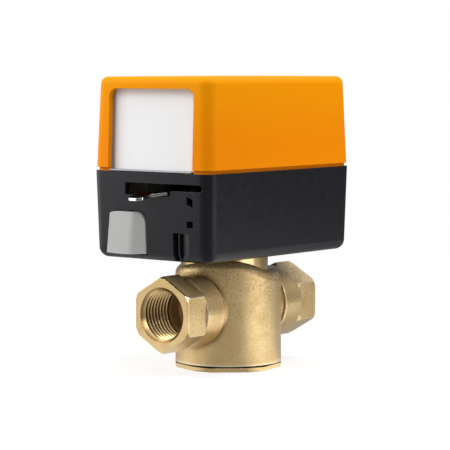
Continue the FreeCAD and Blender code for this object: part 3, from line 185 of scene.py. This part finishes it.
class Shader:
    """A Principled material and short calls for its procedural inputs."""

    def __init__(self, name, colour, metallic=0.0, roughness=0.5):
        self.material = bpy.data.materials.new(name)
        self.material.use_nodes = True
        self.nodes = self.material.node_tree.nodes
        self.links = self.material.node_tree.links
        self.bsdf = self.nodes["Principled BSDF"]
        self.bsdf.inputs["Base Color"].default_value = (*colour, 1.0)
        self.bsdf.inputs["Metallic"].default_value = metallic
        self.bsdf.inputs["Roughness"].default_value = roughness
        self.coords = self.nodes.new("ShaderNodeTexCoord").outputs["Object"]
        self.normal = None

    def node(self, kind, inputs=None, **settings):
        made = self.nodes.new("ShaderNode" + kind)
        for key, value in settings.items():
            setattr(made, key, value)
        for key, value in (inputs or {}).items():
            if isinstance(value, bpy.types.NodeSocket):
                self.links.new(value, made.inputs[key])
            else:
                made.inputs[key].default_value = value
        return made

    def feed(self, name, value):
        self.links.new(value, self.bsdf.inputs[name])

    def specular(self, level):
        self.bsdf.inputs["Specular IOR Level"].default_value = level

    def stretched(self, scale):
        return self.node("Mapping", {"Vector": self.coords, "Scale": scale}).outputs["Vector"]

    def noise(self, scale, detail=3.0, roughness=0.55, vector=None):
        made = self.node("TexNoise", {"Vector": vector or self.coords, "Scale": scale,
                                      "Detail": detail, "Roughness": roughness})
        return made.outputs["Fac"]

    def math(self, operation, a, b=0.0, clamp=False):
        made = self.node("Math", {0: a, 1: b}, operation=operation, use_clamp=clamp)
        return made.outputs[0]

    def chain(self, operation, first, *rest):
        """One operation over several values, from left to right."""
        total = first
        for value in rest:
            total = self.math(operation, total, value)
        return total

    def product(self, *values):
        return self.chain("MULTIPLY", *values)

    def total(self, *values):
        return self.chain("ADD", *values)

    def largest(self, *values):
        return self.chain("MAXIMUM", *values)

    def distance(self, a, b):
        """Length of the plane vector (a, b)."""
        return self.math("SQRT", self.total(self.product(a, a), self.product(b, b)))

    def ramp(self, value, limits, out_low=OFF, out_high=ON):
        made = self.node("MapRange", {"Value": value, "From Min": limits[0], "From Max": limits[1],
                                      "To Min": out_low, "To Max": out_high})
        return made.outputs["Result"]

    def mix(self, factor, a, b):
        """Colour mix; a and b are colours or sockets."""
        made = self.nodes.new("ShaderNodeMix")
        made.data_type = "RGBA"
        for socket, value in ((made.inputs[0], factor), (made.inputs[6], a), (made.inputs[7], b)):
            if isinstance(value, bpy.types.NodeSocket):
                self.links.new(value, socket)
            elif isinstance(value, tuple):
                socket.default_value = (*value, 1.0)
            else:
                socket.default_value = value
        return made.outputs[2]

    def xyz(self):
        made = self.node("SeparateXYZ", {0: self.coords})
        return made.outputs[0], made.outputs[1], made.outputs[2]

    def height(self):
        return self.xyz()[2]

    def facing_up(self):
        normal = self.node("NewGeometry").outputs["Normal"]
        return self.node("SeparateXYZ", {0: normal}).outputs[2]

    def occlusion(self, reach, inside=False):
        """Openness of the surface; with inside, of the solid behind it, which is less at edges."""
        made = self.node("AmbientOcclusion", {"Distance": reach}, samples=8, only_local=True,
                         inside=inside)
        return made.outputs["AO"]

    def softened(self, radius):
        """Round the shading of sharp edges; call before any bump."""
        self.normal = self.node("Bevel", {"Radius": radius}, samples=6).outputs["Normal"]
        self.feed("Normal", self.normal)

    def bump(self, height, distance):
        inputs = {"Height": height, "Distance": distance, "Strength": 1.0}
        if self.normal:
            inputs["Normal"] = self.normal
        self.normal = self.node("Bump", inputs).outputs["Normal"]
        self.feed("Normal", self.normal)


def mould_finish(s, roughness):
    """Uneven sheen, softened edges and the fine grain of a spark-eroded mould."""
    s.feed("Roughness", s.ramp(s.noise(SHEEN), MIDDLE, roughness - 0.05, roughness + 0.05))
    s.softened(PLASTIC_EDGE)
    s.bump(s.noise(SPARK_GRAIN, 2.0), PLASTIC_GRAIN)
    return s.material


def plain_plastic(name, colour, roughness, tint=0.05, specular=0.5):
    """Moulded plastic with faint mottling."""
    s = Shader(name, colour, roughness=roughness)
    s.specular(specular)
    darker = tuple(c * (1.0 - tint) for c in colour)
    lighter = tuple(min(1.0, c * (1.0 + tint)) for c in colour)
    s.feed("Base Color", s.mix(s.noise(MOTTLING, 2.0), darker, lighter))
    return mould_finish(s, roughness)


def orange_plastic():
    """The cover's plastic, with a painted highlight that makes it yellower towards its top."""
    s = Shader("housing_orange", ORANGE)
    s.specular(0.05)
    mottling = s.ramp(s.noise(MOTTLING, 2.0), MIDDLE, -0.08, 0.08)
    # painted highlight: a lighter, yellower orange towards the top, plus random mottling
    tint = s.math("ADD", s.ramp(s.height(), COVER_PAINTED_LIGHT_Z), mottling, clamp=True)
    s.feed("Base Color", s.mix(tint, ORANGE_BELOW_PAINTED_LIGHT, ORANGE_PAINTED_LIGHT))
    return mould_finish(s, 0.5)


def metal(name, colour, roughness, stretch=(1.0, 1.0, 1.0)):
    """Machined or pressed metal with fine tool lines along the stretched direction."""
    s = Shader(name, colour, metallic=1.0, roughness=roughness)
    lines = s.noise(TOOL_LINE, 4.0, vector=s.stretched(stretch))
    s.feed("Roughness", s.ramp(lines, MIDDLE, roughness * 0.8, roughness * 1.25))
    s.feed("Base Color", s.mix(s.noise(TARNISH), tuple(c * 0.88 for c in colour), colour))
    s.softened(METAL_EDGE)
    s.bump(lines, TOOL_LINES)
    return s.material


def cast_brass():
    """Pitted and stained sand casting, turned smooth in the ports and on their faces and collar."""
    s = Shader("cast_brass", BRASS_LIGHT, metallic=1.0)
    x, y, z = s.xyz()
    along = s.math("ABSOLUTE", s.math("SUBTRACT", y, BODY_AXIS_Y))
    from_pipe = s.distance(x, s.math("SUBTRACT", z, PIPE_AXIS_Z))

    # zones, each 1 inside and 0 outside
    in_port = s.product(s.math("LESS_THAN", from_pipe, TURNED_PORT_R),
                        s.math("GREATER_THAN", along, PORT_END))
    on_face = s.math("GREATER_THAN", along, PORT_FACE)
    on_collar = s.product(s.math("GREATER_THAN", z, COLLAR_BOTTOM_Z),
                          s.math("LESS_THAN", s.distance(x, y), COLLAR_R))
    as_cast = s.math("SUBTRACT", 1.0, s.largest(in_port, on_face, on_collar))
    bore = s.product(in_port, s.math("LESS_THAN", along, THREAD_END))

    # dust lies on what faces up, and makes the brass less of a mirror
    stain = s.noise(STAIN, 4.0, 0.6)
    settled = s.ramp(s.facing_up(), TOPS, DUST_ON_SIDES, DUST_ON_TOPS)
    dust = s.total(s.product(as_cast, settled), s.product(bore, DUST_IN_BORE))
    s.feed("Metallic", s.math("SUBTRACT", 1.0, dust))
    rougher = s.total(s.product(as_cast, CAST_ROUGHER), s.product(bore, BORE_ROUGHER),
                      s.product(in_port, PORT_ROUGHER))
    s.feed("Roughness", s.total(rougher, s.ramp(stain, MIDDLE, *BRASS_ROUGHNESS)))

    # stains, dark pits, painted shade in the thread and in corners, and edges worn bright with a
    # painted highlight
    pits = s.ramp(s.noise(PIT, 2.5, 0.6), PIT_LIMITS)
    dirt = s.product(pits, s.ramp(z, CASTING_DIRT_Z, LOW_PITS, ON), as_cast)
    # painted shade: the port's brass is darker towards the roots of its thread
    thread_shade = s.product(in_port, s.ramp(from_pipe, THREAD_SHADE_R, OFF, THREAD_SHADE))
    # painted shade: the brass is darkened where occlusion finds it enclosed, in corners and creases
    crease_shade = s.ramp(s.occlusion(CREASE_SHADE_REACH), CREASE_SHADE_LIMITS, CREASE_SHADE, OFF)
    # worn edges with a painted highlight: convex edges are lightened towards bright brass
    edges = s.ramp(s.occlusion(WEAR_AND_HIGHLIGHT_REACH, inside=True), WEAR_AND_HIGHLIGHT_LIMITS, EDGE_WEAR_AND_HIGHLIGHT, OFF)
    worn_and_lit = s.product(edges, as_cast)
    clean = s.mix(s.ramp(stain, STAIN_LIMITS), BRASS_LIGHT, BRASS_WARM)
    # dark joins the painted shade in the thread and creases to the dirt in the pits
    dark = s.largest(thread_shade, s.product(crease_shade, as_cast), s.product(dirt, PIT_DIRT))
    s.feed("Base Color", s.mix(dark, s.mix(worn_and_lit, clean, BRASS_WORN_AND_LIT), BRASS_DEEP))

    s.softened(CAST_EDGE)
    s.bump(s.product(s.noise(SAND_GRAIN, 3.0, 0.6), as_cast), CAST_GRAIN)
    s.bump(s.product(dirt, -1.0), CAST_PITS)
    return s.material


def turned_cap():
    """Turned brass cap, with a painted shadow in the narrow gap above its flange."""
    s = Shader("turned_cap", BRASS_LIGHT, metallic=1.0)
    clean = s.mix(s.noise(CAP_TARNISH), BRASS_WARM, BRASS_LIGHT)
    # painted shadow: the brass turns near black in the gap above the flange
    s.feed("Base Color", s.mix(s.ramp(s.height(), CAP_GAP_SHADOW_Z), clean, CAP_GAP_SHADOW))
    lines = s.noise(CAP_LINE, vector=s.stretched((1.0, 1.0, 12.0)))
    s.feed("Roughness", s.ramp(lines, MIDDLE, 0.07, 0.15))
    s.softened(METAL_EDGE)
    return s.material


MATERIALS = {
    "cast_brass": cast_brass(),
    "turned_brass": metal("turned_brass", BRASS_LIGHT, 0.22),
    "stainless": metal("stainless", (0.62, 0.61, 0.59), 0.22),
    "zinc_steel": metal("zinc_steel", (0.74, 0.75, 0.76), 0.3),
    "motor_steel": metal("motor_steel", (0.5, 0.51, 0.52), 0.35),
    "magnet": plain_plastic("magnet", (0.03, 0.03, 0.032), 0.5),
    "winding": metal("winding", (0.55, 0.22, 0.09), 0.35, (1.0, 1.0, 30.0)),
    "housing_black": plain_plastic("housing_black", (0.0090, 0.0093, 0.0122), 0.30,
                                   specular=0.24),
    "housing_orange": orange_plastic(),
    "button_grey": plain_plastic("button_grey", (0.42, 0.42, 0.41), 0.45),
    "panel_grey": plain_plastic("panel_grey", (0.45, 0.47, 0.50), 0.5),
    "label_white": plain_plastic("label_white", (0.83, 0.83, 0.83), 0.5, tint=0.01,
                                 specular=0.2),
    "acetal_white": plain_plastic("acetal_white", (0.75, 0.73, 0.66), 0.4),
    "switch_black": plain_plastic("switch_black", (0.02, 0.02, 0.02), 0.4),
    "terminal_grey": plain_plastic("terminal_grey", (0.5, 0.51, 0.48), 0.45),
    "contact_brass": metal("contact_brass", (0.75, 0.66, 0.42), 0.25),
    "seal_rubber": plain_plastic("seal_rubber", (0.015, 0.015, 0.015), 0.6),
    "spring_steel": metal("spring_steel", (0.45, 0.45, 0.45), 0.3),
}


def dress_nodes():
    """Every CAD node takes its record slot's material; the cap and the lever have their own."""
    slot_of = {s["node"]: s["material_slot"] for s in frame["record"]["subparts"]}
    for name, obj in NODES.items():
        obj.data.materials.clear()
        obj.data.materials.append(MATERIALS[slot_of[name]])
    NODES["bottom_cap"].data.materials[0] = turned_cap()
    NODES["manual_lever"].data.materials[0] = metal("bright_steel", (0.80, 0.80, 0.80), 0.10)


# --- the one added piece ---

def spring_rings(coil, centre, start, length, radius):
    """Rings of vertices along the coil's wire, from its start to its end."""
    count = int(SPRING_TURNS * SPRING_STEPS)
    closed = 1.0 / SPRING_TURNS
    rings = []
    for i in range(count + 1):
        t = i / count
        turn = 2 * math.pi * SPRING_TURNS * t
        # the first and last turns lie almost flat
        free = min(max((t - closed) / (1 - 2 * closed), 0.0), 1.0)
        flat = min(t, closed) + max(t - (1 - closed), 0.0)
        seat = 2 * SPRING_WIRE * flat / closed
        along = seat + (length - 4 * SPRING_WIRE) * free
        out = Vector((math.cos(turn), 0.0, math.sin(turn)))
        point = Vector((centre.x, start + along, centre.z)) + out * radius
        ring = []
        for k in range(WIRE_SIDES):
            a = 2 * math.pi * k / WIRE_SIDES
            side = out * math.cos(a) + Vector((0.0, math.sin(a), 0.0))
            ring.append(coil.verts.new(point + side * SPRING_WIRE))
        rings.append(ring)
    return rings


def make_latch_spring():
    """Coil spring behind the latch plate, closed at both ends."""
    low, high = [Vector(corner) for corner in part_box("latch_spring")]
    centre = (low + high) / 2
    radius = (high.x - low.x) / 2 - SPRING_WIRE
    length = high.y - low.y - 2 * SPRING_WIRE
    coil = bmesh.new()
    rings = spring_rings(coil, centre, low.y + SPRING_WIRE, length, radius)
    for a, b in zip(rings, rings[1:]):
        for k in range(WIRE_SIDES):
            n = (k + 1) % WIRE_SIDES
            coil.faces.new((a[k], a[n], b[n], b[k]))
    coil.faces.new(rings[0])
    coil.faces.new(rings[-1])
    bmesh.ops.recalc_face_normals(coil, faces=coil.faces)
    mesh = bpy.data.meshes.new("latch_spring_coil")
    coil.to_mesh(mesh)
    coil.free()
    for face in mesh.polygons:
        face.use_smooth = len(face.vertices) == 4
    spring = bpy.data.objects.new("latch_spring_coil", mesh)
    bpy.context.scene.collection.objects.link(spring)
    mesh.materials.append(MATERIALS["spring_steel"])
    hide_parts("latch_spring")
    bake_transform(spring)


# --- studio ---

def table_glow(s, x, y, away):
    """Radiance of the floor as the object reflects it: dim in front, bright at each side."""
    right, front = math.cos(AZIMUTH), math.sin(AZIMUTH)
    across = s.total(s.product(x, right), s.product(y, front))
    ahead = s.math("SUBTRACT", s.product(x, front), s.product(y, right))
    turn = s.math("ABSOLUTE", s.math("ARCTAN2", across, ahead))
    begins = s.ramp(turn, [math.radians(angle) for angle in GLOW_BEGINS])
    ends = s.ramp(turn, [math.radians(angle) for angle in GLOW_ENDS], ON, OFF)
    near = s.ramp(away, GLOW_REACH, ON, OFF)
    rise = s.ramp(across, (-SIDE_BLEND, SIDE_BLEND), LEFT_GLOW - FRONT_GLOW,
                  RIGHT_GLOW - FRONT_GLOW)
    shape = s.total(s.product(begins, ends, rise), FRONT_GLOW - FAR_GLOW)
    return s.total(s.product(shape, near), FAR_GLOW)


def make_floor():
    """Pale floor, near white to the camera with soft shadows, and a light table to the object."""
    bpy.ops.mesh.primitive_plane_add(size=FLOOR_SIZE, location=(0.0, 0.0, 0.0))
    floor = bpy.context.object
    floor.name = "floor"
    s = Shader("floor", (0.92, 0.92, 0.92), roughness=0.8)
    s.specular(0.0)
    x, y, _ = s.xyz()
    s.feed("Base Color", s.mix(s.noise(FLOOR_CLOUD), (0.90, 0.90, 0.90), (0.93, 0.93, 0.93)))
    away = s.distance(x, y)
    white = s.node("Emission", {"Color": (1.0, 1.0, 1.0, 1.0), "Strength": 1.0})
    lifted = s.node("MixShader", {0: s.ramp(away, SEEN_RANGE, SEEN_GLOW, 1.0)})
    s.links.new(s.bsdf.outputs[0], lifted.inputs[1])
    s.links.new(white.outputs[0], lifted.inputs[2])
    radiance = table_glow(s, x, y, away)
    table = s.node("Emission", {"Color": (1.0, 1.0, 1.0, 1.0), "Strength": radiance})
    blend = s.node("MixShader", {0: s.node("LightPath").outputs["Is Camera Ray"]})
    s.links.new(table.outputs[0], blend.inputs[1])
    s.links.new(lifted.outputs[0], blend.inputs[2])
    s.links.new(blend.outputs[0], s.nodes["Material Output"].inputs["Surface"])
    floor.data.materials.append(s.material)


def make_world():
    """White to the camera; to the object, a dim horizon under a bright ceiling."""
    world = bpy.data.worlds.new("studio")
    world.use_nodes = True
    nodes = world.node_tree.nodes
    links = world.node_tree.links
    direction = nodes.new("ShaderNodeTexCoord").outputs["Generated"]
    height = nodes.new("ShaderNodeSeparateXYZ")
    links.new(direction, height.inputs[0])
    ceiling = nodes.new("ShaderNodeMapRange")
    limits = dict(zip(("From Min", "From Max", "To Min", "To Max"), SKY_HEIGHT + SKY_GLOW))
    for name, value in limits.items():
        ceiling.inputs[name].default_value = value
    links.new(height.outputs[2], ceiling.inputs["Value"])
    seen = nodes.new("ShaderNodeLightPath").outputs["Is Camera Ray"]
    pick = nodes.new("ShaderNodeMix")
    links.new(seen, pick.inputs[0])
    links.new(ceiling.outputs["Result"], pick.inputs[2])
    pick.inputs[3].default_value = 1.0
    background = nodes["Background"]
    background.inputs["Color"].default_value = (1.0, 1.0, 1.0, 1.0)
    links.new(pick.outputs[0], background.inputs["Strength"])
    bpy.context.scene.world = world


def area_light(name, azimuth_deg, elevation_deg, distance, size, radiance, height):
    """Softbox aimed at a point above the body's foot, placed round from the camera's side."""
    back = towards_viewer(AZIMUTH + math.radians(azimuth_deg), math.radians(elevation_deg))
    data = bpy.data.lights.new(name, "AREA")
    data.shape = "RECTANGLE"
    data.size, data.size_y = size
    data.energy = radiance * math.pi * size[0] * size[1]
    target = Vector((0.0, BODY_AXIS_Y, height))
    light = aimed(name, data, target + back * distance, back)
    light.visible_camera = False


make_camera()
make_world()
make_floor()
for light in LIGHTS:
    area_light(*light)
dress_nodes()
make_latch_spring()
bpy.context.scene.view_settings.view_transform = "Standard"
